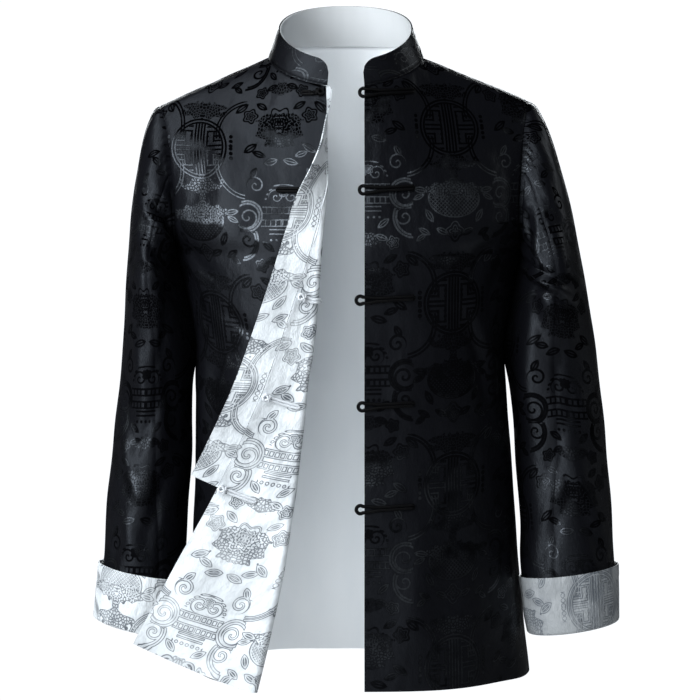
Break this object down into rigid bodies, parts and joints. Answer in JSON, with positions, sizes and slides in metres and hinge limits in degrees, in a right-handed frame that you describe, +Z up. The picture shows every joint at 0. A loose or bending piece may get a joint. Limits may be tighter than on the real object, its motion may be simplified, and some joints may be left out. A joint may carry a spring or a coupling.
{
  "type": "tang jacket",
  "caption": "Hip-length patterned satin jacket with a stand collar, knot and loop frogs and turned-back pale cuffs, worn open with one front folded back to its pale side.",
  "frame": {"origin": "about midway between the two points where the shoulder seams meet the collar, where the wearer's shoulders and neck hold the jacket up", "axes": "+Z up along the wearer's body, the front faces -Y, +X towards the wearer's left arm"},
  "size_m": [0.6117, 0.263, 0.779],
  "materials": {
    "satin_black": "black satin jacquard with tone-on-tone figures",
    "satin_white": "white satin jacquard with silver-grey figures",
    "cord_black": "black satin bias cord",
    "cord_white": "white satin bias cord"
  },
  "bodies": {
    "root": {"back": "satin_black", "front_left": "satin_black", "front_right": "satin_black", "collar": "satin_black", "sleeve_left_top_upper": "satin_black", "sleeve_left_top_lower": "satin_black", "sleeve_left_under_upper": "satin_black", "sleeve_left_under_lower": "satin_black", "sleeve_right_top_upper": "satin_black", "sleeve_right_top_lower": "satin_black", "sleeve_right_under_upper": "satin_black", "sleeve_right_under_lower": "satin_black", "lining_front_right": "satin_white", "underlap": "satin_white", "collar_lining": "satin_white", "cuff_left": "satin_white", "cuff_right": "satin_white", "loop_1": "cord_black", "loop_2": "cord_black", "loop_3": "cord_black", "loop_4": "cord_black", "loop_5": "cord_black", "knot_black_1": "cord_black", "knot_black_2": "cord_black", "knot_black_4": "cord_black", "knot_black_5": "cord_black", "knot_white_3": "cord_white", "knot_white_4": "cord_white", "knot_white_5": "cord_white"}
  },
  "joints": []
}
